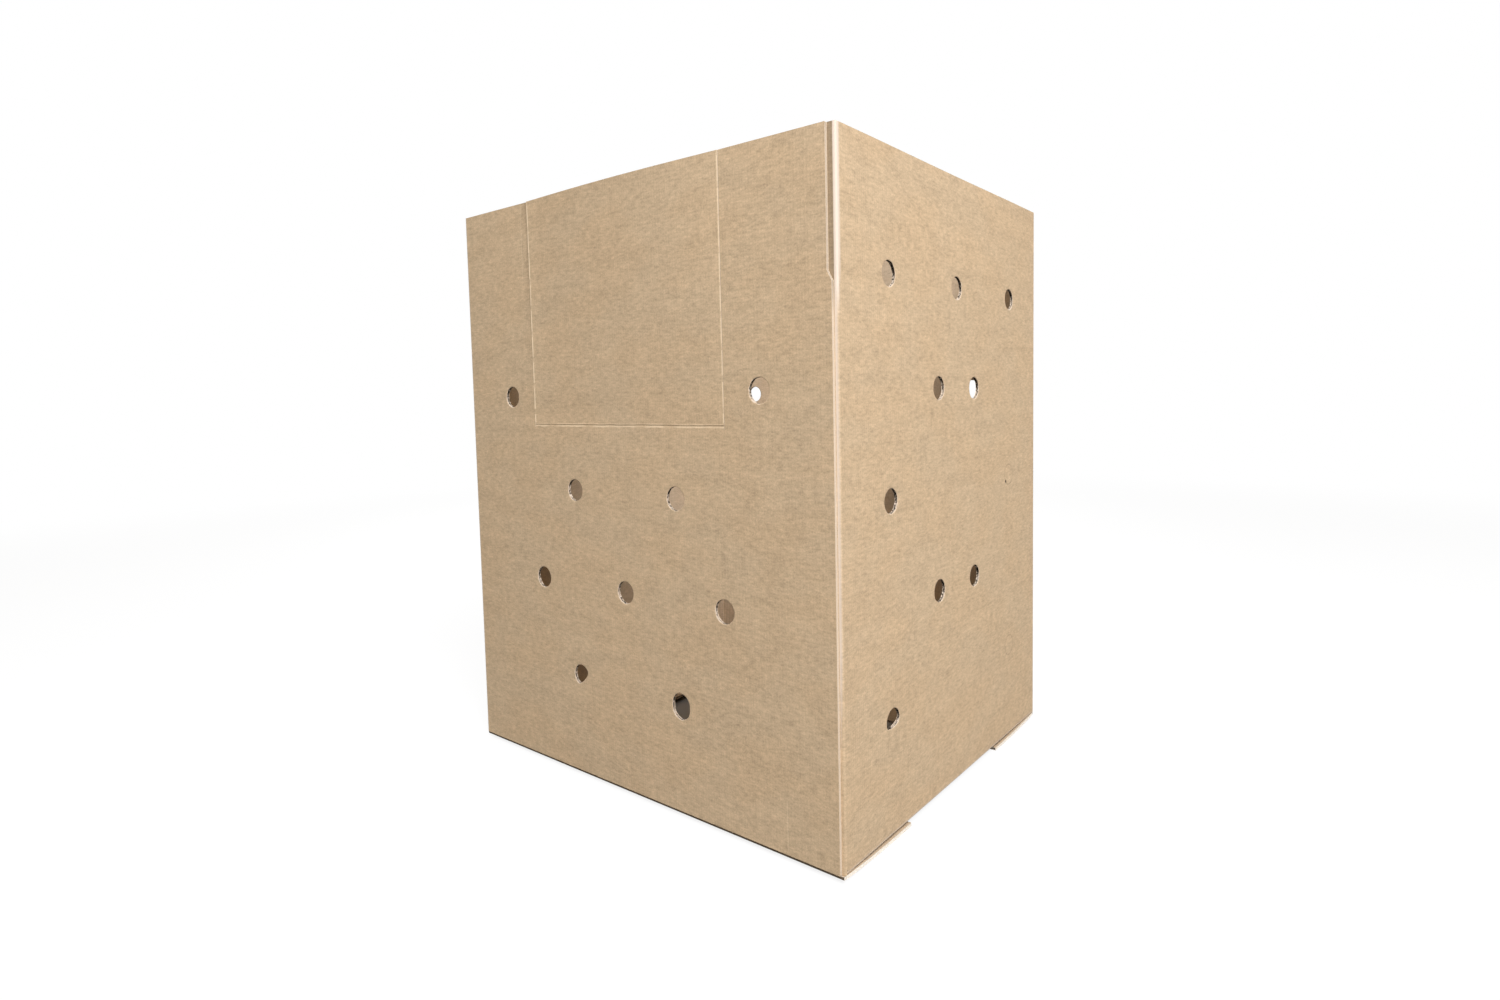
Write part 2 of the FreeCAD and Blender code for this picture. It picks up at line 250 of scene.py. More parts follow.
def run_at(u):
    for run in RUNS.values():
        if u <= run.start + run.length:
            return run
    return RUNS["tab"]


def height_share(z):
    """0 at the gate's score and below, 1 at the top edge."""
    return max(0, (z - SILL) / (TOP - SILL))


def gate_swell(x, z):
    """The gate leans out of the front wall, most in its middle."""
    across = x / GATE_HALF
    most = GATE_LEAN + GATE_BOW * math.cos(across * math.pi / 2)
    return most * height_share(z) ** RISE_POWER


def strip_swell(x, z):
    """The strips beside the gate: the left one springs in along the cut, the right one out."""
    if abs(x) < GATE_HALF:
        return 0
    near_gate = (HALF_X - abs(x)) / (HALF_X - GATE_HALF)
    most = LEFT_STRIP if x < 0 else RIGHT_STRIP
    return most * near_gate ** 1.5 * height_share(z) ** RISE_POWER


def ripple(run, u, v):
    """Slow waves of a board that has stood about, none at the folds and the foot."""
    across = min(u - run.start, run.start + run.length - u) / (run.length / 2)
    ease = clamp(across * 3) * clamp((v - FOOT) / CALM_FOOT)
    height = FRONT_WAVE if run.name == "front" else WALL_WAVE
    along, up = WAVES_PER_METRE
    return noise_at(u * along, v * up, 3) * height * ease


def wall_swell(run, u, v):
    """How far the board stands out of its flat wall."""
    if run.turns or run.name == "tab":
        return 0
    if run.name == "front":
        return ripple(run, u, v) + strip_swell(run.at(u, 0).x, v)
    return ripple(run, u, v)


def flap_run_at(u):
    """The short wall that has a flap at U, if there is one."""
    for wall in ("left", "right"):
        near, far = inner_flap_ends(wall)
        if near - 0.1 * MM <= u <= far + 0.1 * MM:
            return RUNS[wall]
    return None


def fold_wall(u, v, w):
    """Flat board to the box: round the corners, and under at the short walls' foot."""
    run = flap_run_at(u) if v < BEND_TOP else None
    if not run:
        run = run_at(u)
        plan = run.at(u, w + wall_swell(run, u, v))
        return Vector((plan.x, plan.y, v))
    down = BEND_TOP - v
    angle = min(down, BEND_RUN) / FOLD_OUT
    beyond = max(0, down - BEND_RUN)
    radius = (FOLD_OUT + w) * squared(angle)
    plan = run.at(u, radius * math.cos(angle) - FOLD_OUT - beyond)
    return Vector((plan.x, plan.y, BEND_TOP - radius * math.sin(angle)))


def fold_gate(u, v, w):
    """The gate stands in the front wall's plane, apart from its own swell."""
    front = RUNS["front"]
    plan = front.at(u, w + ripple(front, u, v))
    return Vector((plan.x, plan.y - gate_swell(plan.x, v), v))


def fold_front_flap(u, v, w):
    """V is 0 at the hinge line and grows towards the free edge; below 0 it rounds the nose."""
    if v < 0:
        angle = FLAP_SLOPE - v / HINGE_IN
        radius = HINGE_IN + w
        y = -radius * math.sin(angle)
        z = -radius * math.cos(angle)
        return Vector((u, FLAP_LOW.y + HINGE_IN + y, FLAP_AXIS_Z + z))
    slope = max(0, FLAP_SLOPE * (1 - v / FLAP_ARC))
    depth = w + HINGE_IN
    centre_y = FLAP_LOW.y + HINGE_IN + FLAP_RUN
    centre_z = HINGE_IN + FLAP_RADIUS
    radius = FLAP_RADIUS + depth
    beyond = max(0, v - FLAP_ARC)
    y = centre_y - radius * math.sin(slope) + beyond
    return Vector((u, y, centre_z - radius * math.cos(slope)))


def fold_back_flap(u, v, w):
    place = fold_front_flap(-u, v, w)
    return Vector((-place.x, -place.y, place.z))


# ---------------------------------------------------------------- vents

@dataclass
class Vent:
    """A punched vent in flat coordinates.  Angles run from the wall's right, seen from outside."""
    u: float
    v: float
    mirrored: bool = True
    tear: tuple = ()
    stretch: float = 0
    seed: int = 0
    kept: bool = False
    crushed_at: float = -90

    def radius(self, angle):
        """Distance to the rim: the punch's circle, or a ragged tear across it."""
        if not self.tear:
            return VENT_R
        start, end = (math.radians(a) for a in self.tear)
        middle = (end + start + 2 * math.pi) / 2
        half = (start + 2 * math.pi - end) / 2
        toward = math.cos(angle - middle)
        chord = VENT_R * math.cos(half)
        if toward <= 0.05:
            return VENT_R
        across = chord / toward + TEAR_LIP + noise_at(angle * 5, self.seed) * TEAR_RAG
        return (VENT_R ** -4 + across ** -4) ** -0.25

    def drop(self, rise):
        """How far the stretched lower part is let down, from the sine of the angle there."""
        return self.stretch * clamp(-rise * 4)

    def offset(self, u, v):
        """A place as seen from outside, from the vent's middle, with its stretch taken out."""
        x, y = (self.u - u if self.mirrored else u - self.u), v - self.v
        return x, y + self.drop(y / max(MM, math.hypot(x, y)))

    def loop(self, grow=0, layer=None):
        """The vent's outline grown by that much, or as a layer's pushed back edge."""
        side = -1 if self.mirrored else 1
        points = []
        for index in range(VENT_POINTS):
            angle = 2 * math.pi * index / VENT_POINTS
            across, rise = math.cos(angle), math.sin(angle)
            rough = noise_at(across * 3, rise * 3, self.seed) * RIM_ROUGH
            back = grow if layer is None else self.recess(angle, layer)
            radius = self.radius(angle) + rough + back
            points.append((self.u + side * radius * across,
                           self.v + radius * rise - self.drop(rise)))
        return points

    def recess(self, angle, layer):
        """How far the punch pushed a layer back: hardly where it crushed the board."""
        ragged = noise_at(math.cos(angle) * 6, math.sin(angle) * 6, self.seed + layer)
        side = math.cos(angle - math.radians(self.crushed_at))
        return max(0.2, 1.9 - 1.7 * side + ragged * 3.2) * MM

    def off_rim(self, u, v):
        """How far outside the vent a place is."""
        x, y = self.offset(u, v)
        return math.hypot(x, y) - self.radius(math.atan2(y, x) % (2 * math.pi))

    def crushed_and_lit_share(self, u, v, w):
        """1 where the punch crushed the flutes flat, as a rule along the lower rim, which faces
        the light from above, 0 opposite.
        """
        x, y = self.offset(u, v)
        side = math.cos(math.atan2(y, x) - math.radians(self.crushed_at))
        coarse = noise_at(x * 90, y * 90, self.seed)
        fine = noise_at(x * 260, y * 260, w * 300 + self.seed)
        return step_up(side + coarse * 0.5 + fine * 1.8, CRUSH_FROM, CRUSH_FULL)


def wall_vents():
    """Every vent of the walls."""
    vents = []
    for wall, places in (("front", LONG_WALL_VENTS), ("back", LONG_WALL_VENTS),
                         ("left", SHORT_WALL_VENTS), ("right", SHORT_WALL_VENTS)):
        for offset, level in places:
            odd = ODD_VENTS.get((wall, offset, level), {})
            vents.append(Vent(RUNS[wall].u_of(offset * MM), VENT_LOW + VENT_PITCH * level,
                              mirrored=wall in ("front", "right"), seed=len(vents) + 1,
                              crushed_at=CRUSHED_AT[wall], **odd))
    return vents


# ---------------------------------------------------------------- board from flat outlines

def draw_loop(bm, points, w=0.0):
    verts = [bm.verts.new((u, v, w)) for u, v in points]
    return [bm.edges.new(pair) for pair in zip(verts, verts[1:] + verts[:1])]


def everything(bm):
    return bm.verts[:] + bm.edges[:] + bm.faces[:]


def cut_lines(bm, places, axis):
    """Cut the flat sheet along U or V, so that it can bend there."""
    normal = Vector((1, 0, 0)) if axis == 0 else Vector((0, 1, 0))
    for place in places:
        bmesh.ops.bisect_plane(bm, geom=everything(bm), plane_co=normal * place, plane_no=normal)


def spaced(low, high, step):
    """Even places between two ends, about a step apart, without the ends."""
    count = max(1, round((high - low) / step))
    return [low + (high - low) * index / count for index in range(1, count)]


def fill_sheet(outline, holes, u_lines, v_lines):
    """Flat faces inside the outline and round the holes."""
    bm = bmesh.new()
    draw_loop(bm, outline)
    for hole in holes:
        draw_loop(bm, hole)
    bmesh.ops.triangle_fill(bm, edges=bm.edges[:], use_beauty=True, use_dissolve=False)
    cut_lines(bm, u_lines, 0)
    cut_lines(bm, v_lines, 1)
    return bm


def near_vent(vert, vent):
    """Whether a point of the sheet is near enough to a vent to belong to its rings."""
    reach = VENT_R + vent.stretch + 2 * RIM_ROOM
    return (vert.co.xy - Vector((vent.u, vent.v))).length < reach


def shrink_ring(verts, vent, step):
    """Move a ring's points towards its vent, whose lower part may be stretched."""
    for vert in verts:
        flat = vert.co.xy - Vector((vent.u, vent.v))
        drop = vent.drop(flat.y / flat.length)
        flat.y += drop
        flat *= (flat.length - step) / flat.length
        flat.y -= drop
        vert.co.x = vent.u + flat.x
        vert.co.y = vent.v + flat.y


def extrude_ring(bm, edges):
    """The new edges and points of an extruded ring."""
    made = bmesh.ops.extrude_edge_only(bm, edges=edges)["geom"]
    return [[item for item in made if isinstance(item, kind)]
            for kind in (bmesh.types.BMEdge, bmesh.types.BMVert)]


def extrude_down(bm, faces, thickness):
    """Give flat paper its thickness, away from its outer face."""
    made = bmesh.ops.extrude_face_region(bm, geom=faces, use_keep_orig=True)["geom"]
    for item in made:
        if isinstance(item, bmesh.types.BMVert):
            item.co.z -= thickness


def turn_rims(bm, vents, sink):
    """Carry the sheet on to each vent's true edge, bent through the board by the punch."""
    for vent in vents:
        edges = [edge for edge in bm.edges if edge.is_boundary
                 and all(near_vent(vert, vent) for vert in edge.verts)]
        for step, share in ((RIM_ROOM - RIM, 0), (RIM / 2, 0.3), (RIM / 2, 1)):
            edges, ring = extrude_ring(bm, edges)
            shrink_ring(ring, vent, step)
            for vert in ring:
                vert.co.z = -sink * share


def thicken(bm, depth, thickness):
    """A closed sheet of paper whose outer face lies at the given depth."""
    for vert in bm.verts:
        vert.co.z -= depth
    extrude_down(bm, bm.faces[:], thickness)
    bmesh.ops.recalc_face_normals(bm, faces=bm.faces[:])


def close_edge(bm, start, end, inward, lines):
    """The flank of a flute behind a cut edge that runs along the flutes."""
    along = end - start
    turn = Matrix.Rotation(math.atan2(along.y, along.x), 4, "Z")
    place = (start + end) / 2 + inward * EDGE_RECESS
    for low, high in ((LINER, MIDDLE_DEPTH), (MIDDLE_DEPTH + MIDDLE, BOARD - LINER)):
        centre = Matrix.Translation((place.x, place.y, -(low + high) / 2))
        size = Matrix.Diagonal((along.length, FLUTE_PAPER, high - low, 1))
        bmesh.ops.create_cube(bm, size=1, matrix=centre @ turn @ size)
    cut_lines(bm, [line for line in lines if min(start.y, end.y) < line < max(start.y, end.y)], 1)


def flute_strips(bm, start, end, inward):
    """The ends of both layers of flutes behind a cut edge that crosses them."""
    u_low, u_high = sorted((start.x, end.x))
    near = start + inward * CUT_BACK / 3
    far = start + inward * FLUTE_REACH
    for depth, swing, pitch in FLUTES:
        count = max(2, round((u_high - u_low) / pitch * STEPS_PER_FLUTE))
        size = Matrix.Diagonal(((u_high - u_low) / 2, abs(far.y - near.y) / 2, 1, 1))
        middle = Matrix.Translation(((u_low + u_high) / 2, (near.y + far.y) / 2, 0))
        made = bmesh.ops.create_grid(bm, x_segments=count, y_segments=1, size=1,
                                     matrix=middle @ size)
        ripple_and_thicken(bm, made["verts"], depth, swing, pitch)


def fill_edges(outline, lines):
    """What shows between the liners along every cut edge: flute ends, or the flank of a flute."""
    ends, flanks = bmesh.new(), bmesh.new()
    corners = [Vector(point) for point in outline]
    for start, end in zip(corners, corners[1:] + corners[:1]):
        along = end - start
        if along.length < 2 * SLOT:
            continue
        inward = Vector((-along.y, along.x)).normalized()
        if abs(along.x) > 4 * abs(along.y):
            flute_strips(ends, start, end, inward)
        else:
            close_edge(flanks, start, end, inward, lines)
    return ends, flanks


def ripple_and_thicken(bm, verts, depth, swing, pitch):
    """Wave flat paper into flutes and give it its thickness."""
    faces = list(dict.fromkeys(face for vert in verts for face in vert.link_faces))
    for vert in verts:
        vert.co.z = swing * math.sin(vert.co.x / pitch * 2 * math.pi) - depth + FLUTE_PAPER / 2
    extrude_down(bm, faces, FLUTE_PAPER)


def flute_ring(bm, vent, depth, swing, pitch):
    """The flutes that show inside a vent, as a rippled ring round it with a ragged edge."""
    edges = draw_loop(bm, vent.loop(layer=depth / MM))
    verts = list(dict.fromkeys(vert for edge in edges for vert in edge.verts))
    for _ in range(3):
        edges, ring = extrude_ring(bm, edges)
        verts += ring
        shrink_ring(ring, vent, -FLUTE_REACH / 3)
    ripple_and_thicken(bm, verts, depth, swing, pitch)


def new_object(name, bm, materials):
    mesh = bpy.data.meshes.new(name)
    bm.to_mesh(mesh)
    bm.free()
    for material in materials:
        mesh.materials.append(material)
    made = bpy.data.objects.new(name, mesh)
    bpy.context.scene.collection.objects.link(made)
    return made


def hand_over(bm, name, body, fold, materials, wear=None, crease=None):
    """Keep the flat place as the UV map, fold the board and let the piece ride its body.

    The second material goes on the faces that a knife made.  The first function says how pale a
    place is (from wear, and in places painted light), how crushed, and how darkened by painted
    shade, each from 0 to 1, and crease(u, v, w) how far it stands out.
    """
    bmesh.ops.triangulate(bm, faces=[face for face in bm.faces if len(face.verts) > 4])
    bm.normal_update()
    flat = bm.loops.layers.uv.new("flat")
    pale_layer = bm.verts.layers.float.new("wear")
    crushed = bm.verts.layers.float.new("crushed")
    soiled = bm.verts.layers.float.new("soiled")
    for face in bm.faces:
        face.smooth = True
        face.material_index = 1 if abs(face.normal.z) < KNIFE_FACE else 0
        for loop in face.loops:
            loop[flat].uv = loop.vert.co.xy
    for vert in bm.verts:
        if wear:
            vert[pale_layer], vert[crushed], vert[soiled] = wear(*vert.co)
        if crease:
            vert.co.z += crease(*vert.co)
    for vert in bm.verts:
        vert.co = fold(*vert.co)
    bmesh.ops.recalc_face_normals(bm, faces=bm.faces[:])
    piece = new_object(name, bm, materials)
    piece.data.set_sharp_from_angle(angle=SMOOTH_ANGLE)
    if body:
        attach(piece, body)
    return piece


def make_board(name, body, fold, outline, vents, u_lines, v_lines, paint,
               wear=None, crease=None, nose=0.0, edge_shade=None):
    """Three liners and the flutes that show between them.

    outline(back, nose) is the cut edge, set back by that much; nose is what the outer liner
    adds or leaves at a hinge.
    """
    open_vents = [vent for vent in vents if not vent.kept]
    rims = [vent.loop(RIM_ROOM) for vent in open_vents]
    outer = fill_sheet(outline(0, nose), rims, u_lines, v_lines)
    turn_rims(outer, open_vents, OUTER_SINK)
    thicken(outer, 0, LINER)
    inner = fill_sheet(outline(0, 0), rims, u_lines, v_lines)
    turn_rims(inner, open_vents, INNER_SINK)
    thicken(inner, BOARD - LINER, LINER)
    pushed_back = [vent.loop(layer=3) for vent in open_vents]
    middle = fill_sheet(outline(CUT_BACK, 0), pushed_back, u_lines, v_lines)
    thicken(middle, MIDDLE_DEPTH, MIDDLE)
    ends, flanks = fill_edges(outline(0, 0), v_lines)
    outer_paint = (paint["outer"], paint["cut"])
    inner_paint = (paint["inner"], paint["cut"])
    flute_paint = (paint["medium"], paint["cut"])
    flank_paint = (paint["cut"], paint["cut"])
    pieces = [
        hand_over(outer, name + "_outer_liner", body, fold, outer_paint, wear, crease),
        hand_over(inner, name + "_inner_liner", body, fold, inner_paint, inner_wear_and_shade(vents)),
        hand_over(middle, name + "_middle_liner", body, fold, flute_paint, vent_crush_and_shade(vents)),
        hand_over(ends, name + "_flute_ends", body, fold, flute_paint),
        hand_over(flanks, name + "_flute_flanks", body, fold, flank_paint, edge_shade),
    ]
    if open_vents:
        rings = bmesh.new()
        for vent in open_vents:
            for depth, swing, pitch in FLUTES:
                flute_ring(rings, vent, depth, swing, pitch)
        pieces.append(hand_over(rings, name + "_vent_flutes", body, fold,
                                (paint["medium"], paint["medium"]), vent_crush_and_shade(vents)))
    return pieces


# ---------------------------------------------------------------- outlines

def inner_flap_ends(wall):
    """Where a short wall's flap starts and ends; it stays off the folds beside it."""
    run = RUNS[wall]
    ends = sorted(run.u_of(y) for y in (-INNER_FLAP_HALF, INNER_FLAP_HALF))
    return max(ends[0], run.start), min(ends[1], run.start + run.length)


def walls_outline(back, nose):
    """The walls, their tab and the short walls' flaps, with the gate's opening and the notch."""
    front = RUNS["front"]
    gate_right, gate_left = front.u_of(GATE_HALF), front.u_of(-GATE_HALF)
    points = [(back, FOOT + back)]
    for wall in ("left", "right"):
        near, far = inner_flap_ends(wall)
        slot_top = BEND_TOP + SLOT_RISE
        points += [(near - SLOT - back, FOOT + back), (near - SLOT - back, slot_top + back),
                   (near + back, slot_top + back), (near + back, INNER_FLAP_END + back),
                   (far - back, INNER_FLAP_END + back), (far - back, slot_top + back),
                   (far + SLOT + back, slot_top + back), (far + SLOT + back, FOOT + back)]
    points += [(U_END - back, FOOT + back), (U_END - back, TOP - back),
               (gate_left + back, TOP - back), (gate_left + back, SILL - back - nose),
               (gate_right - back, SILL - back - nose), (gate_right - back, TOP - back),
               (NOTCH_IN + back, TOP - back), (NOTCH_IN + back, TOP - NOTCH_DROP),
               (back, TOP - NOTCH_DROP - NOTCH_SLANT)]
    return points


def gate_outline(back, nose):
    right, left = gate_ends()
    low = GATE_LOW.z + back + nose
    return [(right + back, low), (left - back, low), (left - back, TOP - back),
            (right + back, TOP - back)]


def flap_outline(back, nose):
    left, right, end = FLAP_LOW.x + back, FLAP_HIGH.x - back, FLAP_ARC + LAND - back
    return [(left, -nose), (right, -nose), (right, end), (left, end)]


def gate_ends():
    """Flat U of the gate's right and left edges; U grows to the left on the front wall."""
    front = RUNS["front"]
    return front.u_of(GATE_HIGH.x), front.u_of(GATE_LOW.x)


# ---------------------------------------------------------------- materials

class Term:
    """A value in a shader, so that masks and patterns read as arithmetic."""

    def __init__(self, shader, socket):
        self.shader = shader
        self.socket = socket

    def math(self, operation, *others):
        inputs = dict(enumerate((self, *others)))
        return self.shader.add("ShaderNodeMath", inputs, operation=operation)

    def __add__(self, other):
        return self.math("ADD", other)

    __radd__ = __add__

    def __mul__(self, other):
        return self.math("MULTIPLY", other)

    __rmul__ = __mul__

    def __sub__(self, other):
        return self.math("SUBTRACT", other)

    def __rsub__(self, other):
        return (self * -1) + other

    def above(self, low, high, step="SMOOTHSTEP"):
        """0 below low, 1 above high and a step between."""
        return self.shader.add("ShaderNodeMapRange",
                               {"Value": self, "From Min": low, "From Max": high},
                               interpolation_type=step)


class Nodes:
    """A node tree whose nodes are made from their kind, inputs and settings."""

    def __init__(self, tree):
        self.tree = tree

    def feed(self, socket, value):
        if isinstance(value, Term):
            self.tree.links.new(value.socket, socket)
        elif socket.type == "VECTOR":
            socket.default_value = value[:3]
        else:
            socket.default_value = value

    def add(self, kind, inputs, output=0, **settings):
        """A node of that kind: its settings first, then its inputs, as values or links."""
        node = self.tree.nodes.new(kind)
        for key, value in settings.items():
            setattr(node, key, value)
        for key, value in inputs.items():
            self.feed(node.inputs[key], value)
        return Term(self, node.outputs[output])

    def show(self, light, output):
        """Make a shader the result of the tree."""
        self.feed(self.tree.nodes[output].inputs["Surface"], light)


class Shader(Nodes):
    """One material."""

    def __init__(self, name, roughness, specular=0.3):
        self.material = bpy.data.materials.new(name)
        self.material.use_nodes = True
        super().__init__(self.material.node_tree)
        self.surface = self.tree.nodes["Principled BSDF"]
        self.surface.inputs["Roughness"].default_value = roughness
        self.surface.inputs["Specular IOR Level"].default_value = specular

    def flat_place(self, u_size, v_size, shift=0.0):
        """The board's flat coordinates, counted in features of that size."""
        place = self.add("ShaderNodeUVMap", {}, uv_map="flat")
        return self.add("ShaderNodeVectorMath",
                        {0: place, 1: (1 / u_size, 1 / v_size, 1), 2: (shift, shift, shift)},
                        operation="MULTIPLY_ADD")

    def clouds(self, u_size, v_size, detail=3.0, roughness=0.55, shift=0.0):
        """Noise from -0.5 to 0.5 with features of that width and height."""
        place = self.flat_place(u_size, v_size, shift)
        value = self.add("ShaderNodeTexNoise", {"Vector": place, "Scale": 1.0, "Detail": detail,
                                                "Roughness": roughness})
        return value - 0.5

    def wave(self, pitch):
        """A sine across the flutes."""
        place = self.flat_place(1, 1)
        u = self.add("ShaderNodeSeparateXYZ", {"Vector": place})
        return (u * (2 * math.pi / pitch)).math("SINE")

    def along(self, pitch):
        """0 to 1 again and again along the flutes."""
        place = self.flat_place(1, 1)
        v = self.add("ShaderNodeSeparateXYZ", {"Vector": place}, output=1)
        return (v * (1 / pitch)).math("FRACT")

    def ring(self, u, v, radius, width):
        """1 on a circle about a place, 0 from that width away."""
        away = self.add("ShaderNodeVectorMath", {0: self.flat_place(1, 1), 1: (u, v, 0)},
                        output=1, operation="DISTANCE")
        return 1 - (away - radius).math("ABSOLUTE").above(0, width)

    def stroke(self, u, low, high, width):
        """1 on a line along the flutes, 0 from that width away and beyond its ends."""
        place = self.flat_place(1, 1)
        across = self.add("ShaderNodeSeparateXYZ", {"Vector": place})
        along = self.add("ShaderNodeSeparateXYZ", {"Vector": place}, output=1)
        line = 1 - (across - u).math("ABSOLUTE").above(0, width)
        begun = along.above(low - STROKE_FADE, low + STROKE_FADE)
        return line * begun * (1 - along.above(high - STROKE_FADE, high + STROKE_FADE))

    def attribute(self, name):
        return self.add("ShaderNodeAttribute", {}, output=2, attribute_name=name)

    def mix(self, first, second, share):
        return self.add("ShaderNodeMix", {0: share, 6: first, 7: second}, output=2,
                        data_type="RGBA")

    def shade(self, colour, factor):
        """A colour made lighter or darker by a value."""
        return self.add("ShaderNodeVectorMath", {0: colour, "Scale": factor}, operation="SCALE")

    def bump(self, height):
        """The normal of a surface with that relief, in metres."""
        return self.add("ShaderNodeBump", {"Height": height, "Distance": 1.0, "Strength": 1.0})

    def finish(self, **sockets):
        for name, value in sockets.items():
            self.feed(self.surface.inputs[name.replace("_", " ")], value)
        return self.material


# Colours.
KRAFT = (0.545, 0.405, 0.257, 1)
KRAFT_WARM = (0.552, 0.402, 0.249, 1)
KRAFT_PALE = (0.75, 0.635, 0.525, 1)
INNER_KRAFT = (0.534, 0.422, 0.299, 1)
INNER_WARM = (0.538, 0.414, 0.282, 1)
FLUTE_BROWN = (0.20, 0.15, 0.105, 1)
CUT_PAPER = (0.78, 0.645, 0.49, 1)
CUT_FLAP = (0.93, 0.86, 0.75, 1)
CRUSHED_KRAFT = (0.86, 0.69, 0.47, 1)
# Crushed fibre inside the vents, on their lit side: partly a painted highlight.
CRUSHED_LIT_FIBRE = (0.70, 0.60, 0.49, 1)
FLOOR_GREY = (0.36, 0.36, 0.36, 1)
FLOOR_WHITE = (0.9, 0.9, 0.9, 1)
WHITE = (1, 1, 1, 1)

# How the liner's marks look.
SHADED_TO = 0.2                     # what is left of a colour under full painted shade
FLUTE_SHOW = 0.018             # how much the flutes shade the liner
DASH_PITCH = 65 * MM           # length of a rule's dashes
KNIFE_WIDTH, KNIFE_DEPTH, KNIFE_SHADE = 3.5 * MM, 0.7 * MM, 0.14
NICK_Y, NICK_Z = 0.298, 0.708  # on the right wall, at the rim of a disc still in place
NICK_R, NICK_FADE, NICK_SHADE = 1.5 * MM, 5.0 * MM, 0.9
RUBS = ((-0.350, 1.25, 1.45), (0.467, 0.027, 0.132))   # X on the front wall, from Z, to Z
RUB_WIDTH, RUB_DEPTH, RUB_SHADE = 3 * MM, 0.3 * MM, 0.15
STROKE_FADE = 10 * MM
CUT_RELIEF = 0.2 * MM


def kraft_liner(name, colour, warm, contrast, washboard=0.0):
    """Kraft liner: cloudy pulp, cross bands, fibres and the flutes showing through.

    With a washboard the flutes show strongly where the liner is crushed.
    """
    shader = Shader(name, 0.78)
    clouds = shader.clouds(17 * MM, 12 * MM, 4.0, 0.68)
    patches = shader.clouds(60 * MM, 40 * MM, 2.0, 0.5, shift=9.0)
    streaks = shader.clouds(17 * MM, 5.5 * MM, 2.0, 0.55, shift=7.0)
    bands = shader.clouds(500 * MM, 26 * MM, 2.0, 0.5, shift=3.0)
    fibres = shader.clouds(3.0 * MM, 3.6 * MM, 2.0, 0.6, shift=11.0)
    tint = shader.clouds(180 * MM, 120 * MM, 2.0, 0.5, shift=5.0)
    flutes = shader.wave(COARSE_PITCH)
    specks = shader.clouds(5 * MM, 3 * MM, 1.0, 0.5, shift=21.0).above(0.15, 0.24)
    tone = clouds * 0.56 + patches * 0.27 + streaks * 0.50 + bands * 0.15 + fibres * 0.58
    tone = (tone + specks * 0.09) * contrast
    tone = tone + flutes * (shader.attribute("crushed") * washboard + FLUTE_SHOW) + 1
    body = shader.mix(colour, warm, (tint * 2 + 0.5).above(0.2, 0.8))
    body = shader.shade(body, tone)
    # Pale from wear, with painted light under the short walls' bends and painted highlights on the
    # joint's corner and the vents' lit rims.
    body = shader.mix(body, KRAFT_PALE, shader.attribute("wear"))
    if not washboard:
        dashes = shader.along(DASH_PITCH).above(0.18, 0.24) * 0.55 + 0.35
        dashes = (dashes + shader.clouds(25 * MM, 18 * MM, 1.0, 0.5, shift=31.0) * 1.3).above(0, 1)
        body = shader.mix(body, CRUSHED_KRAFT, shader.attribute("crushed") * dashes)
    # Painted shade: darker in the joint's notch, on the flaps' folds, and round the vents on the
    # inner liner.
    body = shader.shade(body, 1 - shader.attribute("soiled") * (1 - SHADED_TO))
    relief = (flutes * 0.05 + clouds * 0.12 + streaks * 0.08 + fibres * 0.05) * MM
    if not washboard:
        body, relief = mark_outside(shader, body, relief)
    return shader.finish(Base_Color=body, Roughness=0.80 - fibres * 0.2,
                         Normal=shader.bump(relief))


def mark_outside(shader, body, relief):
    """The knife's line round the discs still in the wall, a nick in one painted as a dark spot of
    shade, and rubbed lines.
    """
    for vent in wall_vents():
        if vent.kept:
            line = shader.ring(vent.u, vent.v, VENT_R, KNIFE_WIDTH)
            body = shader.shade(body, 1 - line * KNIFE_SHADE)
            relief = relief - line * KNIFE_DEPTH
    # Painted shade: a dark spot for the small opening of the knife's nick.
    nick = shader.ring(RUNS["right"].u_of(NICK_Y), NICK_Z, NICK_R, NICK_FADE)
    body = shader.shade(body, 1 - nick * NICK_SHADE)
    for x, low, high in RUBS:
        line = shader.stroke(RUNS["front"].u_of(x), low, high, RUB_WIDTH)
        body = shader.mix(body, CRUSHED_KRAFT, line * RUB_SHADE)
        relief = relief - line * RUB_DEPTH
    return body, relief


def flute_paper():
    """The rougher brown paper of the flutes and the middle liner."""
    shader = Shader("flute_paper", 0.95, 0.05)
    pulp = shader.clouds(5 * MM, 3 * MM, 3.0, 0.6)
    body = shader.shade(FLUTE_BROWN, pulp * 0.4 + 1)
    # Painted shade inside the vents, darkest where no crushed fibres are.
    body = shader.shade(body, 1 - shader.attribute("soiled") * 0.95)
    # Pale crushed fibres on the vents' lower rims, partly a painted highlight.
    body = shader.mix(body, CRUSHED_LIT_FIBRE, shader.attribute("wear"))
    return shader.finish(Base_Color=body, Normal=shader.bump(pulp * CUT_RELIEF))


def cut_paper(name, colour):
    """Torn fibres at a knife's cut, paler than the liners."""
    shader = Shader(name, 0.9)
    pulp = shader.clouds(9 * MM, 3 * MM, 3.0, 0.6)
    body = shader.shade(colour, pulp * 0.35 + 1)
    # Painted shade, as on the liners beside it: the front wall's cut edge, the notch, the flaps'
    # folds and the vents' rims.
    body = shader.shade(body, 1 - shader.attribute("soiled") * (1 - SHADED_TO))
    return shader.finish(Base_Color=body, Normal=shader.bump(pulp * CUT_RELIEF))


